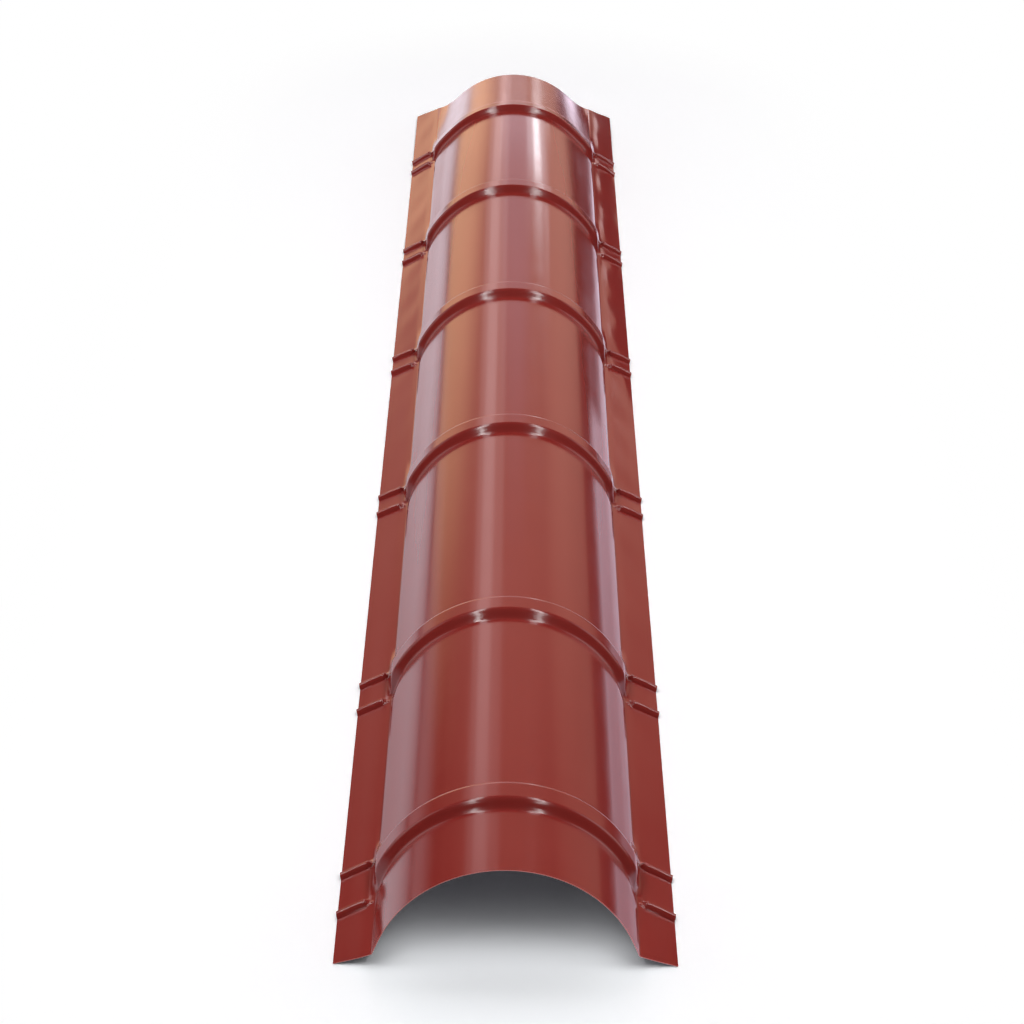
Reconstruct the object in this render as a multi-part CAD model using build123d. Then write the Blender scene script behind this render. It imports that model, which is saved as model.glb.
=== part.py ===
import os
from math import cos, radians, sin

from build123d import *

# Half-round ridge cap for a tiled metal roof, pressed from one length of coated steel sheet:
# a round arch, a flange folded out along each foot of it, ribs pressed across the arch and a pair of
# crimps across both flanges at every rib.
# X runs across the cap, Y along it and Z up. The origin is on the floor under the middle of the cap,
# the first rib is the one nearest the -Y end, and the cap rests on the outer edges of its flanges.
# Lengths are in millimetres and angles in degrees, and radii are those of the painted outer face.

# Sheet and section
cap_length = 2000.0
sheet_thickness = 0.5
arch_radius = 110.0
arch_half_angle = 75.0
fold_radius = 3.0
flange_width = 32.0
flange_slope = 16.0

# Ribs, from the front foot of one rib to that of the next, and a longer cap repeats the last bay
first_rib = 84.0
rib_bays = (311.0, 388.0, 354.0, 332.0, 318.0)
plain_end = 100.0
rib_height = 8.0
rib_front_run = 9.0
rib_top_run = 22.0
rib_rear_run = 6.0
rib_crest_radius = 4.0

# Crimps, placed at the flange's edge: the lead of the front one over the rib and the span to the rear one,
# rib by rib, and the last of each holds for the ribs that follow
crimp_leads = (25.0, 21.0, 18.0)
crimp_spans = (55.0, 46.0, 38.0)
crimp_sweep = 18.0
crimp_height = 4.0
crimp_front_run = 6.0
crimp_top_run = 1.5
crimp_rear_run = 8.0
crimp_crest_radius = 1.5
crimp_end_gap = 8.0
crimp_end_run = 6.0

# Depth to which a rib or crimp is sunk into the body that it rises from, and the overrun of a cut
root = 2.0
overrun = 5.0
rib_overlap_angle = 20.0

half_angle = radians(arch_half_angle)
slope = radians(flange_slope)
fold_reach = arch_radius + fold_radius
edge_drop = flange_width * sin(slope) + (fold_radius + sheet_thickness) * cos(slope)
arch_centre = edge_drop - fold_reach * cos(half_angle)
arch_axis = Axis((0, 0, arch_centre), (0, 1, 0))
base_level = arch_centre - arch_radius


def along(angle, reach):
    # Point of the section at an angle from the vertical and a distance from the arch's axis
    return Vector(reach * sin(angle), arch_centre + reach * cos(angle))


fold_centre = along(half_angle, fold_reach)
flange_start = fold_centre - Vector(sin(slope), cos(slope)) * fold_radius
flange_plane = Plane(
    origin=(flange_start.X, 0, flange_start.Y),
    x_dir=(cos(slope), 0, -sin(slope)),
    z_dir=(sin(slope), 0, cos(slope)),
)


def section_mass(depth, length, flange, base):
    # All that lies under the sheet's face at this depth below the painted one, down to a flat base
    radius = fold_radius + depth
    middle = (half_angle + slope) / 2
    crown = along(0, arch_radius - depth)
    arch_foot = along(half_angle, arch_radius - depth)
    fold_middle = fold_centre - Vector(sin(middle), cos(middle)) * radius
    fold_end = fold_centre - Vector(sin(slope), cos(slope)) * radius
    edge = fold_end + Vector(cos(slope), -sin(slope)) * flange
    fall = (edge.Y - base) / cos(slope)
    corner = edge - Vector(sin(slope), cos(slope)) * fall
    right = [arch_foot, fold_middle, fold_end, edge, corner]
    left = [Vector(-point.X, point.Y) for point in right]
    outline = Wire(
        [
            Edge.make_three_point_arc(left[0], crown, right[0]),
            Edge.make_three_point_arc(right[0], right[1], right[2]),
            Edge.make_line(right[2], right[3]),
            Edge.make_line(right[3], right[4]),
            Edge.make_line(right[4], left[4]),
            Edge.make_line(left[4], left[3]),
            Edge.make_line(left[3], left[2]),
            Edge.make_three_point_arc(left[2], left[1], left[0]),
        ]
    )
    return extrude(Plane.XZ * Face(outline), amount=length / 2, both=True)


def bead_face(start, level, height, front_run, top_run, rear_run, crest_radius, depth):
    # Side view of a rib or crimp, whose foot at the front is at the start given
    front = start - root * front_run / height
    rear = start + front_run + top_run + rear_run + root * rear_run / height
    bead = Polygon(
        (front, level - root),
        (rear, level - root),
        (start + front_run + top_run, level + height),
        (start + front_run, level + height),
        align=None,
    )
    crests = bead.vertices().sort_by(Axis.Y)[-2:]
    rounded = fillet(crests, crest_radius)
    return offset(rounded, amount=-depth) if depth else rounded


def rib(place, depth):
    side = bead_face(
        place,
        arch_radius,
        rib_height,
        rib_front_run,
        rib_top_run,
        rib_rear_run,
        rib_crest_radius,
        depth,
    )
    sweep = arch_half_angle + rib_overlap_angle
    upright = Plane((0, 0, arch_centre), x_dir=(0, 1, 0), z_dir=(1, 0, 0)) * side
    return revolve(upright.rotate(arch_axis, -sweep), axis=arch_axis, revolution_arc=2 * sweep)


def crimp(place, depth, flange):
    # A crimp runs inwards and back from the flange's edge, open there, and slopes down to its end by the fold
    side = bead_face(
        place,
        0,
        crimp_height,
        crimp_front_run,
        crimp_top_run,
        crimp_rear_run,
        crimp_crest_radius,
        depth,
    )
    lowest = crimp_end_gap - root * crimp_end_run / crimp_height
    highest = crimp_end_gap + crimp_end_run * (1 + root / crimp_height)
    end = Polygon(
        (lowest, -root),
        (flange + depth, -root),
        (flange + depth, crimp_height + root),
        (highest, crimp_height + root),
        align=None,
    )
    if depth:
        end = offset(end, amount=-depth)
    edge_axis = Axis((flange_width, place, 0), (0, 0, 1))
    bar = extrude(Plane.YZ * side, amount=2 * flange_width).rotate(edge_axis, -crimp_sweep)
    wedge = extrude(Plane.XZ * end, amount=cap_length / 2, both=True)
    right = flange_plane * (bar & wedge)
    return [right, mirror(right, about=Plane.YZ)]


def rib_places():
    # Front foot of each rib along Y, as many as leave the plain far end to lap under the next cap
    reach = rib_front_run + rib_top_run + rib_rear_run + plain_end
    places = [first_rib]
    while True:
        bay = rib_bays[min(len(places), len(rib_bays)) - 1]
        if places[-1] + bay + reach > cap_length:
            return [place - cap_length / 2 for place in places]
        places.append(places[-1] + bay)


def sheet_mass(depth, length, flange, base):
    mass = section_mass(depth, length, flange, base)
    pressings = []
    for number, place in enumerate(rib_places()):
        first_crimp = place - crimp_leads[min(number, len(crimp_leads) - 1)]
        span = crimp_spans[min(number, len(crimp_spans) - 1)]
        pressings.append(rib(place, depth))
        pressings += crimp(first_crimp, depth, flange)
        pressings += crimp(first_crimp + span, depth, flange)
    return mass + pressings


def build_ridge_cap():
    outer = sheet_mass(0, cap_length, flange_width, base_level)
    inner = sheet_mass(
        sheet_thickness,
        cap_length + 2 * overrun,
        flange_width + overrun,
        base_level - overrun,
    )
    return outer - inner


ridge_cap = build_ridge_cap()
ridge_cap.label = "ridge_cap"
os.makedirs("parts", exist_ok=True)
export_step(ridge_cap, "parts/ridge_cap.step")
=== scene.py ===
from math import pi, radians

import bpy
import numpy as np
from mathutils import Euler, Matrix, Vector


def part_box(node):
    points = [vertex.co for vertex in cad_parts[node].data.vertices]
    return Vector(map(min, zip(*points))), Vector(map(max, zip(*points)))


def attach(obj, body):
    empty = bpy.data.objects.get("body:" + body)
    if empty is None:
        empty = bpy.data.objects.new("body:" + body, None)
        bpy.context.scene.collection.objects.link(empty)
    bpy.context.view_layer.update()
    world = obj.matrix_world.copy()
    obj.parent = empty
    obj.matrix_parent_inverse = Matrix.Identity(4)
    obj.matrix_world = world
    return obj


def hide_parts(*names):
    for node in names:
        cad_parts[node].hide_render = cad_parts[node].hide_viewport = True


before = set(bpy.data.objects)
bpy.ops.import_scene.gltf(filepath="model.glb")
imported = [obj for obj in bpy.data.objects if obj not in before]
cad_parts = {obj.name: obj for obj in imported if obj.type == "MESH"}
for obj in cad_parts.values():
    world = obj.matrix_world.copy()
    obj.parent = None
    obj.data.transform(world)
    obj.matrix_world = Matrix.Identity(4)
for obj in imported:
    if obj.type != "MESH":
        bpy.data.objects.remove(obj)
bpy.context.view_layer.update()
mm = 0.001  # sizes below are in millimetres, Blender's are in metres
capLow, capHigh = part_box("ridge_cap")
print("frame loaded, cap is", round((capHigh[1] - capLow[1]) / mm), "mm long")


# Node and colour helpers

def fromHex(code):
    values = [int(code[i:i + 2], 16) / 255 for i in (1, 3, 5)]
    linear = [v / 12.92 if v <= 0.04045 else ((v + 0.055) / 1.055) ** 2.4 for v in values]
    return (*linear, 1.0)


def addNode(tree, kind, inputs=None, **settings):
    node = tree.nodes.new(kind)
    for name, value in settings.items():
        setattr(node, name, value)
    for name, value in (inputs or {}).items():
        if isinstance(value, bpy.types.NodeSocket):
            tree.links.new(value, node.inputs[name])
        else:
            node.inputs[name].default_value = value
    return node


def newMaterial(name):
    material = bpy.data.materials.new(name)
    material.use_nodes = True
    tree = material.node_tree
    tree.nodes.clear()
    output = addNode(tree, "ShaderNodeOutputMaterial")
    return material, tree, output


# The ridge cap: one pressed sheet, modelled as a grid that follows its section, ribs and crimps

cap = dict(
    sheet=0.5,
    archRadius=110.0,
    archHalfAngle=75.0,
    foldRadius=3.0,
    flangeWidth=31.6,
    flangeSlope=16.0,
    firstRib=84.0,
    ribBays=(311.0, 388.0, 354.0, 332.0, 318.0),
    ribHeight=7.6,
    ribFootHeight=2.8,       # what is left of the rib where it reaches the fold
    ribFront=10.0,
    ribTop=18.5,
    ribRear=10.0,
    ribFade=(-21.0, -1.0),   # the rib sinks between these distances from the fold
    ribFootSpread=(1.0, 32.0),  # and its front and rear edge move back by these there
    dentDepth=0.7,           # the arch is dented in front of the rib's foot, over this length and width
    dentSize=(8.0, 7.0),
    footFlare=0.8,           # the arch leans out a little at the fold, over this width
    flareWidth=8.0,
    footSheen=0.42,          # and its shading is eased there, as over a wide soft bend
    sheenZone=(-50.0, -12.0),
    steepCorner=(100.0, 60.0),  # but less so at the near left corner, by this share
    steepShare=0.8,
    crimpLeads=(25.0, 21.0, 18.0),
    crimpSpans=(55.0, 46.0, 38.0),
    crimpSweep=18.0,
    crimpHeight=4.4,
    crimpFront=4.5,
    crimpTop=1.0,
    crimpRear=5.0,
    crimpEnd=(4.0, 8.0),     # the crimp rises between these distances from the fold
    crimpRidge=0.9,          # height of the crease that runs on from the rear crimp to the fold
    knots=(3.2, 6.2),        # two pinched knots end a crimp, this far from the fold
    knotHeight=1.3,
    knotSize=1.4,
    platform=0.6,            # flange lifted between the two crimps
    farStart=1500.0,         # from here the arch sinks, and behind the last rib in a straight line
    farSink=24.5,
    farShare=0.22,           # share of it that is reached at that rib
    farRound=75.0,           # the arch stays round this far out at that end, and straight from there to the fold
    farEdge=4.0,             # height of the flange's edge there, its slope and the softness of the fold
    farSlope=22.0,
    farSoft=5.0,
    foldStart=800.0,         # from here the fold already rises by this much, and the arch with it up to this reach
    foldLift=7.0,
    liftReach=62.0,
    waveHeight=(0.25, 0.6),  # buckles in the left and the right flange
    longWave=(171.0, 88.0),  # their lengths along and across
    shortWave=(83.0, 47.0),
    archStep=7.0,            # grid spacing over the arch, near its foot and along a bay
    footStep=2.5,
    bayStep=18.0,
    footZone=28.0,           # width of the finer grid at the arch's foot, and on the flange beside the fold
    creaseZone=12.0,
)


def smooth(low, high, x):
    t = np.clip((x - low) / (high - low), 0.0, 1.0)
    return t * t * (3.0 - 2.0 * t)


def capSection():
    # Right half of the section from the crown to the flange edge, as developed distance from the fold's end
    alpha, beta = radians(cap["archHalfAngle"]), radians(cap["flangeSlope"])
    radius, fold, flange = cap["archRadius"], cap["foldRadius"], cap["flangeWidth"]
    foldLength = fold * (alpha - beta)
    archLength = radius * alpha
    zone, crease = cap["footZone"], cap["creaseZone"]
    crown = np.arange(-archLength - foldLength, -zone - foldLength, cap["archStep"])
    foot = np.linspace(-zone - foldLength, -foldLength, round(zone / cap["footStep"]) + 1)
    bend = np.linspace(-foldLength, 0.0, 6)[1:]
    inner = np.linspace(0.0, crease, 15)[1:]
    outer = np.linspace(crease, flange, 8)[1:]
    q = np.concatenate([crown, foot, bend, inner, outer])

    edgeDrop = flange * np.sin(beta) + (fold + cap["sheet"]) * np.cos(beta)
    centre = edgeDrop - (radius + fold) * np.cos(alpha)
    foldX = (radius + fold) * np.sin(alpha)
    foldZ = centre + (radius + fold) * np.cos(alpha)

    onArch = q <= -foldLength
    onFold = (q > -foldLength) & (q < 0.0)
    theta = np.where(onArch, (q + foldLength + archLength) / radius, 0.0)
    turn = np.where(onFold, alpha - (q + foldLength) / fold, 0.0)
    along = np.maximum(q, 0.0)
    tilt = np.where(onArch, theta, np.where(onFold, turn, beta))  # angle of the normal from the vertical
    x = np.where(onArch, radius * np.sin(theta), foldX - fold * np.sin(tilt))
    z = np.where(onArch, centre + radius * np.cos(theta), foldZ - fold * np.cos(tilt))
    x = x + along * np.cos(beta)
    z = z - along * np.sin(beta)

    right = slice(None)
    left = slice(None, 0, -1)
    both = lambda values, sign: np.concatenate([sign * values[left], values[right]])
    return dict(
        q=both(q, 1.0),
        side=np.concatenate([-np.ones(len(q) - 1), np.ones(len(q))]),
        x=both(x, -1.0),
        z=both(z, 1.0),
        nx=both(np.sin(tilt), -1.0),
        nz=both(np.cos(tilt), 1.0),
    )


def ribPlaces():
    return np.cumsum([cap["firstRib"], *cap["ribBays"]])


def crimpPlaces(number):
    # Front foot of the front and of the rear crimp at the flange's edge, measured from the rib's front foot
    lead = cap["crimpLeads"][min(number, len(cap["crimpLeads"]) - 1)]
    span = cap["crimpSpans"][min(number, len(cap["crimpSpans"]) - 1)]
    return -lead, span - lead


def swept(q):
    # How far back a crimp lies at this distance from the fold
    return (cap["flangeWidth"] - np.clip(q, 0.0, None)) * np.tan(radians(cap["crimpSweep"]))


def ribLines(number):
    # Feature lines across the sheet: place on the arch, place at the flange edge, rows up to the next line
    front, rear = crimpPlaces(number)
    bead = cap["crimpFront"] + cap["crimpTop"] + cap["crimpRear"]
    crest, back = cap["ribFront"], cap["ribFront"] + cap["ribTop"]
    return [
        (-40.0, front - 26.0, 4),
        (-14.0, front - 2.5, 12),  # a row of the grid falls on the foot of each crimp
        (-2.0, front + 7.5, 18),
        (crest + 3.0, front + bead + 3.0, 5),
        (back - 3.0, rear - 2.5, 16),
        (back + cap["ribRear"] + 1.0, rear + 7.5, 5),
        (back + cap["ribRear"] + 9.0, rear + bead + 3.0, 3),
        (back + cap["ribRear"] + 33.0, rear + bead + 26.0, 0),
    ]


def rowGrid(q):
    # Rows of the grid along the cap: they bend where a feature runs from the arch into the flange
    onFlange = smooth(-26.0, 2.0, q)
    length = (capHigh[1] - capLow[1]) / mm
    rows = []
    last = np.zeros_like(q)
    for number, place in enumerate(ribPlaces()):
        lines = [(place + a + (b + swept(q) - a) * onFlange, count) for a, b, count in ribLines(number)]
        gap = max(3, round(float((lines[0][0] - last).mean()) / cap["bayStep"]))
        rows += [last + (lines[0][0] - last) * i / gap for i in range(gap)]
        for (here, count), (there, ignored) in zip(lines, lines[1:]):
            rows += [here + (there - here) * i / count for i in range(count)]
        last = lines[-1][0]
    gap = max(3, round(float((length - last).mean()) / cap["bayStep"]))
    rows += [last + (length - last) * i / gap for i in range(gap + 1)]
    return np.array(rows)


def ribHeights(s, q):
    # An S-shaped step up at the front, a flat top that follows the arch and a short drop behind
    fade = smooth(*cap["ribFade"], q)
    height = cap["ribHeight"] + (cap["ribFootHeight"] - cap["ribHeight"]) * fade
    front = (s - cap["ribFootSpread"][0] * fade) * cap["ribHeight"] / height  # as steep at its foot as at the crown
    back = s - cap["ribFootSpread"][1] * fade - cap["ribFront"] - cap["ribTop"]
    rear = 1.0 - np.clip(back / cap["ribRear"], 0.0, 1.0) ** 2  # the top rounds over before it drops
    return height * smooth(0.0, cap["ribFront"], front) * rear


def crimpHeights(s, q):
    # A crimp is open at the flange edge and ends in a round nose short of the fold
    crest = cap["crimpFront"] + cap["crimpTop"]
    front = 1.0 - np.clip(1.0 - s / cap["crimpFront"], 0.0, 1.0) ** 2  # steep from its foot and round at its crest
    bead = front * smooth(crest + cap["crimpRear"], crest, s)
    knots = sum(np.exp(-((s - 3.0) ** 2 + (q - place) ** 2) / cap["knotSize"] ** 2) for place in cap["knots"])
    return cap["crimpHeight"] * bead * smooth(*cap["crimpEnd"], q) + cap["knotHeight"] * knots


def crimpRidge(s, q):
    # The sheet is creased from the end of the rear crimp to the fold
    crest = s - cap["crimpFront"]
    rise = smooth(-4.0, 0.0, crest) * smooth(9.0, 0.0, crest)
    return cap["crimpRidge"] * rise * smooth(-1.0, 1.0, q) * smooth(9.0, 6.0, q)


def pressedHeights(q, side, y):
    heights = np.zeros_like(y)
    onArch = smooth(5.0, -3.0, q)
    dentLong, dentWide = cap["dentSize"]
    for number, place in enumerate(ribPlaces()):
        s = y - place
        front, rear = crimpPlaces(number)
        sFront, sRear = s - front - swept(q), s - rear - swept(q)
        heights += ribHeights(s, q) * onArch
        heights += crimpHeights(sFront, q) + crimpHeights(sRear, q) + crimpRidge(sRear, q)
        between = smooth(2.0, 8.0, sFront) * smooth(8.0, 2.0, sRear)
        heights += cap["platform"] * between * smooth(2.0, 6.0, q) * smooth(32.0, 20.0, q)
        heights -= cap["dentDepth"] * np.exp(-((s - 1.0) / dentLong) ** 2 - ((q + 8.0) / dentWide) ** 2)
    heights += cap["footFlare"] * np.exp(-((q + 2.0) / cap["flareWidth"]) ** 2)
    return heights + flangeWaves(q, side, y)


def flangeWaves(q, side, y):
    # Thin flanges buckle a little between the crimps: slanting waves, stronger towards the far end
    height = np.where(side < 0.0, *cap["waveHeight"]) * (0.2 + 0.8 * smooth(500.0, 1300.0, y))
    (longY, longQ), (shortY, shortQ) = cap["longWave"], cap["shortWave"]
    long = np.sin(2.0 * pi * (y / longY - side * q / longQ + 0.2 * side))
    short = np.sin(2.0 * pi * (y / shortY + q / shortQ + 0.37 * side))
    return height * (1.0 + 0.5 * long + 0.5 * short) * smooth(2.0, 12.0, q) * smooth(34.0, 20.0, q)


def farShare(y):
    # How much of the far end's shape is reached: little up to the last rib, then evenly up to the end
    length = (capHigh[1] - capLow[1]) / mm
    last = ribPlaces()[-1] + cap["ribFront"]
    upTo = np.clip((y - cap["farStart"]) / (last - cap["farStart"]), 0.0, 1.0)
    behind = np.clip((y - last) / (length - last), 0.0, 1.0)
    return cap["farShare"] * upTo ** 2 + (1.0 - cap["farShare"]) * behind


def farShape(q, x, z, y):
    # Height of the sheet with its far end let down: the arch sinks and opens into steeper flanges
    length = (capHigh[1] - capLow[1]) / mm
    risen = smooth(cap["foldStart"], length, y) ** 1.5 * cap["foldLift"]
    lifted = z + risen * (1.0 - smooth(0.0, cap["liftReach"], -q)) * (1.0 - np.clip(q / cap["flangeWidth"], 0.0, 1.0))
    out = np.abs(x)
    radius, reach = cap["archRadius"], cap["farRound"]
    fall = np.sqrt(radius ** 2 - reach ** 2)
    arch = np.sqrt(radius ** 2 - np.minimum(out, reach) ** 2) - np.maximum(out - reach, 0.0) * reach / fall
    arch += z.max() - cap["farSink"] - radius
    flange = cap["farEdge"] + np.tan(radians(cap["farSlope"])) * (out.max() - out)
    gap = np.maximum(cap["farSoft"] - np.abs(arch - flange), 0.0) / cap["farSoft"]
    end = np.maximum(arch, flange) + gap * gap * cap["farSoft"] / 4.0
    return lifted + farShare(y) * (end - lifted)


def buildCap():
    section = capSection()
    q, side = section["q"], section["side"]
    rows = rowGrid(q)
    heights = pressedHeights(q[None, :], side[None, :], rows)
    y = rows + capLow[1] / mm
    z = farShape(q[None, :], section["x"], section["z"], rows) + section["nz"] * heights
    top = np.stack([section["x"] + section["nx"] * heights, y, z], -1)
    normal = np.stack([section["nx"], np.zeros_like(q), section["nz"]], -1)
    under = top - normal[None] * cap["sheet"]
    rowCount, columnCount = rows.shape
    points = np.concatenate([top.reshape(-1, 3), under.reshape(-1, 3)]) * mm

    index = np.arange(rowCount * columnCount).reshape(rowCount, columnCount)
    below = index + rowCount * columnCount
    quads = lambda a, b, c, d: np.stack([a, b, c, d], -1).reshape(-1, 4)
    upper = quads(index[:-1, :-1], index[:-1, 1:], index[1:, 1:], index[1:, :-1])
    lower = quads(below[:-1, :-1], below[1:, :-1], below[1:, 1:], below[:-1, 1:])
    rims = [
        quads(index[0, :-1], below[0, :-1], below[0, 1:], index[0, 1:]),
        quads(index[-1, 1:], below[-1, 1:], below[-1, :-1], index[-1, :-1]),
        quads(index[1:, 0], below[1:, 0], below[:-1, 0], index[:-1, 0]),
        quads(index[:-1, -1], below[:-1, -1], below[1:, -1], index[1:, -1]),
    ]
    faces = np.concatenate([upper, lower, *rims])
    slots = np.repeat([0, 1, 2], [len(upper), len(lower), sum(len(r) for r in rims)])

    mesh = bpy.data.meshes.new("ridgeCapSheet")
    mesh.from_pydata(points.tolist(), [], faces.tolist())
    for material in (coatedSteel(), backingCoatAndPaintedShade(), cutEdgeAndHighlight()):
        mesh.materials.append(material)
    mesh.polygons.foreach_set("material_index", slots)
    mesh.polygons.foreach_set("use_smooth", np.ones(len(faces), dtype=bool))
    mesh.set_sharp_from_angle(angle=radians(55.0))
    mesh.update()
    easeShading(mesh, q, side, rows, len(upper))
    sheet = bpy.data.objects.new("ridgeCapSheet", mesh)
    bpy.context.scene.collection.objects.link(sheet)
    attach(sheet, "root")
    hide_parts("ridge_cap")
    print("cap:", rowCount, "rows,", columnCount, "columns,", 2 * len(faces), "triangles")
    return sheet


def easeShading(mesh, q, side, rows, upperCount):
    # Painted side only: tip the shading normals up a little along the foot of the arch
    ease = cap["footSheen"] * smooth(*cap["sheenZone"], q) * smooth(-0.5, -3.5, q) * (1.0 - farShare(rows))
    ease *= 1.0 - cap["steepShare"] * (side < 0.0) * smooth(*cap["steepCorner"], rows)
    corners = 4 * upperCount
    normals = np.zeros((len(mesh.loops), 3), dtype=np.float32)
    mesh.corner_normals.foreach_get("vector", normals.ravel())
    where = np.zeros(len(mesh.loops), dtype=np.int32)
    mesh.loops.foreach_get("vertex_index", where)
    level = np.clip(1.0 - 3.0 * np.abs(normals[:corners, 1]), 0.0, 1.0)  # the ribs' steep faces stay as they are
    normals[:corners, 2] += ease.ravel()[where[:corners]] * level
    normals /= np.linalg.norm(normals, axis=1)[:, None]
    mesh.normals_split_custom_set(normals.tolist())


# Materials

# Polyester-coated steel: the paint is rolled on and baked on a coil line, so it is smooth and glossy and mirrors the
# room softly, with a faint orange peel, roller streaks along the sheet and dull patches from handling
coat = dict(
    colour="#8A2824",
    faded="#92302B",
    roughness=(0.12, 0.18),
    wornRange=(0.12, 0.42),  # of streaks times patches, over which the gloss goes from full to dull
    cloudSize=160.0,
    streakSize=(9.0, 420.0),
    patchSize=38.0,
    peelSize=2.2,
    peelDepth=0.003,
)


def coatedSteel():
    material, tree, output = newMaterial("polyesterCoatedSteel")
    where = addNode(tree, "ShaderNodeTexCoord").outputs["Object"]
    cloud = addNode(tree, "ShaderNodeTexNoise", {
        "Vector": where, "Scale": 1 / (coat["cloudSize"] * mm), "Detail": 2.0}).outputs["Fac"]
    colour = addNode(tree, "ShaderNodeMix", {
        0: cloud, 6: fromHex(coat["colour"]), 7: fromHex(coat["faded"])}, data_type="RGBA")
    across, along = (1 / (size * mm) for size in coat["streakSize"])
    stretched = addNode(tree, "ShaderNodeMapping", {"Vector": where, "Scale": (across, along, across)})
    streaks = addNode(tree, "ShaderNodeTexNoise", {
        "Vector": stretched.outputs["Vector"], "Scale": 1.0, "Detail": 2.0}).outputs["Fac"]
    patches = addNode(tree, "ShaderNodeTexNoise", {
        "Vector": where, "Scale": 1 / (coat["patchSize"] * mm), "Detail": 4.0, "Roughness": 0.6}).outputs["Fac"]
    worn = addNode(tree, "ShaderNodeMath", {0: streaks, 1: patches}, operation="MULTIPLY").outputs["Value"]
    roughness = addNode(tree, "ShaderNodeMapRange", {
        "Value": worn, "From Min": coat["wornRange"][0], "From Max": coat["wornRange"][1],
        "To Min": coat["roughness"][0], "To Max": coat["roughness"][1]}).outputs["Result"]
    peel = addNode(tree, "ShaderNodeTexNoise", {
        "Vector": where, "Scale": 1 / (coat["peelSize"] * mm), "Detail": 1.0}).outputs["Fac"]
    bump = addNode(tree, "ShaderNodeBump", {"Height": peel, "Strength": 0.4, "Distance": coat["peelDepth"] * mm})
    shader = addNode(tree, "ShaderNodeBsdfPrincipled", {
        "Base Color": colour.outputs[2], "Roughness": roughness, "IOR": 1.5, "Normal": bump.outputs["Normal"]})
    tree.links.new(shader.outputs["BSDF"], output.inputs["Surface"])
    return material


# Epoxy backing coat: one thin coat of grey primer on the underside, dull, with a little mottling; its grey is made
# darker than such primer usually is, partly as painted shade under the arch
backingAndPaintedShade = dict(colour="#4C4D4C", thin="#424342", mottleSize=24.0, roughness=0.5)


def backingCoatAndPaintedShade():
    material, tree, output = newMaterial("epoxyBackingCoatAndPaintedShade")
    where = addNode(tree, "ShaderNodeTexCoord").outputs["Object"]
    mottle = addNode(tree, "ShaderNodeTexNoise", {
        "Vector": where, "Scale": 1 / (backingAndPaintedShade["mottleSize"] * mm), "Detail": 3.0}).outputs["Fac"]
    # the dark grey is partly painted shade: it stands in for the shade that falls under the arch
    colour = addNode(tree, "ShaderNodeMix", {
        0: mottle, 6: fromHex(backingAndPaintedShade["colour"]), 7: fromHex(backingAndPaintedShade["thin"])}, data_type="RGBA")
    shader = addNode(tree, "ShaderNodeBsdfPrincipled", {
        "Base Color": colour.outputs[2], "Roughness": backingAndPaintedShade["roughness"], "IOR": 1.5})
    tree.links.new(shader.outputs["BSDF"], output.inputs["Surface"])
    return material


# Sheared steel edge: bare metal with paint dragged over it by the shear, seen as a thin reddish line round the sheet;
# its pale salmon tint is partly a painted highlight, for the light the edge catches
edge = dict(colour="#A8685E", bright="#C48A80", grainSize=1.5, roughness=0.4)


def cutEdgeAndHighlight():
    material, tree, output = newMaterial("shearedSteelEdgePaintedHighlight")
    where = addNode(tree, "ShaderNodeTexCoord").outputs["Object"]
    grain = addNode(tree, "ShaderNodeTexNoise", {
        "Vector": where, "Scale": 1 / (edge["grainSize"] * mm), "Detail": 2.0}).outputs["Fac"]
    # pale salmon tones: partly the edge's own metal and paint, partly a painted highlight along the rim
    colour = addNode(tree, "ShaderNodeMix", {
        0: grain, 6: fromHex(edge["colour"]), 7: fromHex(edge["bright"])}, data_type="RGBA")
    shader = addNode(tree, "ShaderNodeBsdfPrincipled", {
        "Base Color": colour.outputs[2], "Roughness": edge["roughness"], "Metallic": 1.0})
    tree.links.new(shader.outputs["BSDF"], output.inputs["Surface"])
    return material


# Studio: a pale floor under a white backdrop, a soft box on each side, ceiling strips ahead and a dim warm room

studio = dict(
    floorSize=60.0,
    floorColour="#F4F6F9",
    floorSeen=1.32,           # gain on the floor's colour as the camera sees it
    clearFrom=(0.12, 0.5),    # metres beside and beyond the cap over which the floor passes into the white backdrop
    mirrorLeft=(-1.5, -0.2),  # across the cap, the floor's painted reflection brightens between these on the left
    mirrorRight=(0.25, 0.21),  # and between these on the right
    mirrorFade=1.4,           # power by which it fades out on the left
    mirrorSplit=0.1,          # half the width over which left passes into right
    mirrorColour=("#F2EEF8", "#F0E6FA"),  # on the left and on the right
    mirrorGain=1.5,           # by which the right is stronger
    mirrorDim="#2E2423",
    mirrorShine=(1.05, 2.2),  # strength of the painted reflection, between these places along the cap
    shineAlong=(-0.5, 1.8),
    roomColour="#343231",
)


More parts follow.
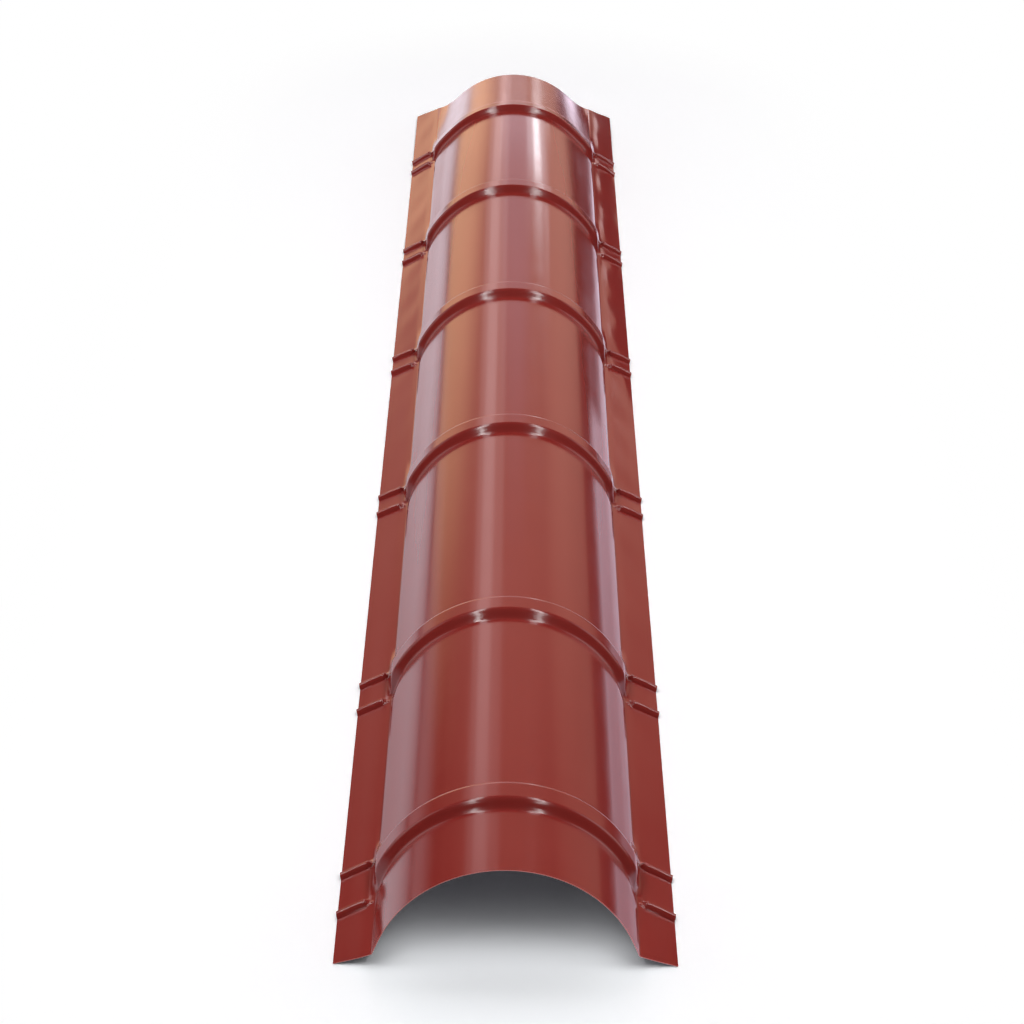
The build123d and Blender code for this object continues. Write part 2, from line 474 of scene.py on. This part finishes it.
def buildFloor():
    material, tree, output = newMaterial("paintedStudioFloor")
    rays = addNode(tree, "ShaderNodeLightPath")
    plain = fromHex(studio["floorColour"])
    seen = [studio["floorSeen"] * v for v in plain[:3]] + [1.0]
    colour = addNode(tree, "ShaderNodeMix", {0: rays.outputs["Is Camera Ray"], 6: plain, 7: seen}, data_type="RGBA")
    painted = addNode(tree, "ShaderNodeBsdfDiffuse", {"Color": colour.outputs[2]})
    where = addNode(tree, "ShaderNodeTexCoord").outputs["Object"]
    place = addNode(tree, "ShaderNodeSeparateXYZ", {0: where})
    # To the camera, the floor passes into a white backdrop away from the cap
    along = addNode(tree, "ShaderNodeMath", {0: place.outputs["Y"]}, operation="ABSOLUTE").outputs["Value"]
    beyond = addNode(tree, "ShaderNodeMapRange", {
        "Value": along, "From Min": capHigh[1], "From Max": capHigh[1] + 1.0}).outputs["Result"]
    around = addNode(tree, "ShaderNodeCombineXYZ", {"X": place.outputs["X"], "Y": beyond}).outputs["Vector"]
    away = addNode(tree, "ShaderNodeVectorMath", {0: around}, operation="LENGTH").outputs["Value"]
    clear = addNode(tree, "ShaderNodeMapRange", {
        "Value": away, "From Min": studio["clearFrom"][0], "From Max": studio["clearFrom"][1]},
        interpolation_type="SMOOTHSTEP").outputs["Result"]
    backdrop = addNode(tree, "ShaderNodeMath", {
        0: clear, 1: rays.outputs["Is Camera Ray"]}, operation="MULTIPLY").outputs["Value"]
    white = addNode(tree, "ShaderNodeEmission", {"Color": (1.0, 1.0, 1.0, 1.0), "Strength": 1.0})
    shader = addNode(tree, "ShaderNodeMixShader", {
        0: backdrop, 1: painted.outputs["BSDF"], 2: white.outputs["Emission"]})
    # Painted reflection: to glossy rays alone, the floor glows as a bright coloured sweep along each side of the cap,
    # dim between them
    left, right = (addNode(tree, "ShaderNodeMapRange", {
        "Value": place.outputs["X"], "From Min": studio[name][0], "From Max": studio[name][1]}).outputs["Result"]
        for name in ("mirrorLeft", "mirrorRight"))
    faded = addNode(tree, "ShaderNodeMath", {0: left, 1: studio["mirrorFade"]}, operation="POWER").outputs["Value"]
    bright = addNode(tree, "ShaderNodeMath", {0: faded, 1: right}, operation="MULTIPLY").outputs["Value"]
    shine = addNode(tree, "ShaderNodeMapRange", {
        "Value": place.outputs["Y"], "From Min": studio["shineAlong"][0], "From Max": studio["shineAlong"][1],
        "To Min": studio["mirrorShine"][0], "To Max": studio["mirrorShine"][1]}).outputs["Result"]
    onRight = addNode(tree, "ShaderNodeMapRange", {
        "Value": place.outputs["X"], "From Min": -studio["mirrorSplit"], "From Max": studio["mirrorSplit"]})
    gain = addNode(tree, "ShaderNodeMapRange", {
        "Value": onRight.outputs["Result"], "To Min": 1.0, "To Max": studio["mirrorGain"]}).outputs["Result"]
    strength = addNode(tree, "ShaderNodeMath", {0: shine, 1: gain}, operation="MULTIPLY").outputs["Value"]
    pale = addNode(tree, "ShaderNodeMix", {
        0: onRight.outputs["Result"], 6: fromHex(studio["mirrorColour"][0]), 7: fromHex(studio["mirrorColour"][1])},
        data_type="RGBA")
    paintedReflectionColour = addNode(tree, "ShaderNodeMix", {
        0: bright, 6: fromHex(studio["mirrorDim"]), 7: pale.outputs[2]}, data_type="RGBA")
    paintedReflectionGlow = addNode(tree, "ShaderNodeEmission", {"Color": paintedReflectionColour.outputs[2], "Strength": strength})
    mixed = addNode(tree, "ShaderNodeMixShader", {
        0: rays.outputs["Is Glossy Ray"], 1: shader.outputs["Shader"], 2: paintedReflectionGlow.outputs["Emission"]})
    tree.links.new(mixed.outputs["Shader"], output.inputs["Surface"])
    half = studio["floorSize"] / 2
    mesh = bpy.data.meshes.new("studioFloor")
    mesh.from_pydata([(-half, -half, 0), (half, -half, 0), (half, half, 0), (-half, half, 0)], [], [(0, 1, 2, 3)])
    mesh.materials.append(material)
    floor = bpy.data.objects.new("studioFloor", mesh)
    bpy.context.scene.collection.objects.link(floor)


# A grey cloth flag stands along the far right side, out of sight, and is mirrored as a dark band
# metres: place across, where it starts, is full and ends along the cap, lower and upper edge
flag = dict(x=0.16, y=(0.05, 0.3, 1.4), z=(0.014, 0.05), colour="#5E585C")


def buildFlag():
    material, tree, output = newMaterial("greyFlagCloth")
    shader = addNode(tree, "ShaderNodeBsdfDiffuse", {"Color": fromHex(flag["colour"])})
    tree.links.new(shader.outputs["BSDF"], output.inputs["Surface"])
    x, (low, high) = flag["x"], flag["z"]
    start, full, end = flag["y"]
    mesh = bpy.data.meshes.new("greyFlag")
    mesh.from_pydata([(x, start, low), (x, end, low), (x, end, high), (x, full, high)], [], [(0, 1, 2, 3)])
    mesh.materials.append(material)
    cloth = bpy.data.objects.new("greyFlag", mesh)
    cloth.visible_camera = cloth.visible_diffuse = cloth.visible_shadow = False
    bpy.context.scene.collection.objects.link(cloth)


# name: place, point aimed at, size across and along in metres, radiance, colour, spread in degrees
lamps = dict(
    leftBox=((-1.0, 0.6, 2.8), (0.0, 0.6, 0.0), (0.3, 3.6), 7.2, "#FFFFFF", 180.0),
    rightBox=((1.0, 0.6, 2.8), (0.0, 0.6, 0.0), (0.3, 3.6), 7.4, "#FFFFFF", 180.0),
    leftGlint=((-1.2, -1.55, 2.8), (0.0, -1.55, 0.0), (0.16, 2.7), 14.0, "#FFFFFF", 180.0),
    rightGlint=((1.2, -1.55, 2.8), (0.0, -1.55, 0.0), (0.16, 2.7), 14.0, "#FFFFFF", 180.0),
    leftStrip=((-1.12, 12.4, 2.6), (-0.4, 12.4, 0.0), (0.6, 19.2), 0.8, "#FFECF0", 180.0),
    leftHaze=((-1.08, 12.4, 2.7), (-0.4, 12.4, 0.0), (1.5, 19.2), 0.5, "#FFECF0", 180.0),
    rightStrip=((1.9, 10.9, 2.6), (1.1, 10.9, 0.0), (0.6, 4.0), 4.4, "#F4F8FF", 180.0),
    rightHaze=((2.0, 10.9, 2.7), (1.2, 10.9, 0.0), (1.8, 4.0), 1.2, "#EEF2FF", 180.0),
    rightFar=((3.4, 22.0, 2.6), (2.0, 22.0, 0.0), (1.4, 14.0), 1.3, "#F4F8FF", 180.0),
    farHaze=((0.3, 15.5, 2.7), (0.2, 15.5, 0.0), (2.6, 13.0), 0.4, "#DCE8FF", 180.0),
    frontCard=((0.0, -1.05, 0.06), (0.0, -0.982, 0.0), (0.2, 0.03), 0.66, "#FFFFFF", 42.0),
)


def buildLamps():
    for name, (place, aim, size, radiance, colour, spread) in lamps.items():
        light = bpy.data.lights.new(name, "AREA")
        light.shape = "RECTANGLE"
        light.size, light.size_y = size
        light.energy = radiance * pi * size[0] * size[1]
        light.color = fromHex(colour)[:3]
        light.spread = radians(spread)
        lamp = bpy.data.objects.new(name, light)
        back = (Vector(place) - Vector(aim)).normalized()
        across = Vector((0.0, 1.0, 0.0)).cross(back).normalized()
        turn = Matrix((across, back.cross(across), back)).transposed()  # the lamp's long side lies along the cap
        lamp.matrix_world = Matrix.Translation(place) @ turn.to_4x4()
        lamp.visible_camera = False
        bpy.context.scene.collection.objects.link(lamp)


# name: direction of the middle, degrees from it where it is full and where it ends, colour, strength
roomLights = dict(
    wallAhead=((0.0, 0.978, 0.208), (12.0, 32.0), "#FFCBB4", 0.85),
    paleAhead=((0.03, 0.945, 0.326), (3.0, 9.0), "#B4D2FF", 0.5),
    glowLeft=((-0.315, 0.945, 0.09), (4.0, 14.0), "#FFD09C", 1.25),
    lowLeft=((-0.58, 0.81, 0.0), (3.0, 13.0), "#F4E4EA", 0.6),
    lowRight=((0.48, 0.86, 0.16), (5.0, 18.0), "#FFCBB4", 0.5),
    sideLeft=((-0.9, 0.3, 0.35), (10.0, 32.0), "#FFFFFF", 1.1),
    sideRight=((0.9, 0.3, 0.35), (10.0, 32.0), "#FFFFFF", 1.2),
)


def buildWorld():
    world = bpy.data.worlds.new("studioRoom")
    bpy.context.scene.world = world
    world.use_nodes = True
    tree = world.node_tree
    background = tree.nodes["Background"]
    where = addNode(tree, "ShaderNodeTexCoord").outputs["Generated"]
    total = addNode(tree, "ShaderNodeRGB")
    total.outputs[0].default_value = fromHex(studio["roomColour"])
    total = total.outputs[0]
    for name, (middle, (inner, outer), colour, strength) in roomLights.items():
        toward = addNode(tree, "ShaderNodeVectorMath", {
            0: where, 1: Vector(middle).normalized()}, operation="DOT_PRODUCT").outputs["Value"]
        share = addNode(tree, "ShaderNodeMapRange", {
            "Value": toward, "From Min": np.cos(radians(outer)), "From Max": np.cos(radians(inner)),
            "To Max": strength}, interpolation_type="SMOOTHSTEP").outputs["Result"]
        part = addNode(tree, "ShaderNodeVectorMath", {0: fromHex(colour)[:3], "Scale": share}, operation="SCALE")
        total = addNode(tree, "ShaderNodeVectorMath", {0: total, 1: part.outputs["Vector"]}).outputs["Vector"]
    seen = addNode(tree, "ShaderNodeLightPath").outputs["Is Camera Ray"]
    mixed = addNode(tree, "ShaderNodeMix", {0: seen, 6: total, 7: (1.0, 1.0, 1.0, 1.0)}, data_type="RGBA")
    tree.links.new(mixed.outputs[2], background.inputs["Color"])


# Camera fitted to the photograph: metres, degrees, and the focal length in pixels of a 1024 pixel frame
camera = dict(place=(0.0023, -2.7928, 1.3528), pitch=27.71, yaw=0.0, roll=0.46, focalPixels=2761.4, framePixels=1024)


def buildCamera():
    data = bpy.data.cameras.new("camera")
    data.sensor_width = 36.0
    data.lens = data.sensor_width * camera["focalPixels"] / camera["framePixels"]
    shot = bpy.data.objects.new("camera", data)
    turn = Euler((radians(90.0 - camera["pitch"]), 0.0, -radians(camera["yaw"]))).to_matrix()
    turn = turn @ Matrix.Rotation(radians(camera["roll"]), 3, "Z")
    shot.matrix_world = Matrix.Translation(camera["place"]) @ turn.to_4x4()
    bpy.context.scene.collection.objects.link(shot)
    bpy.context.scene.camera = shot


bpy.context.scene.view_settings.view_transform = "Standard"
buildCap()
buildFloor()
buildFlag()
buildLamps()
buildWorld()
buildCamera()
print("studio and camera set")
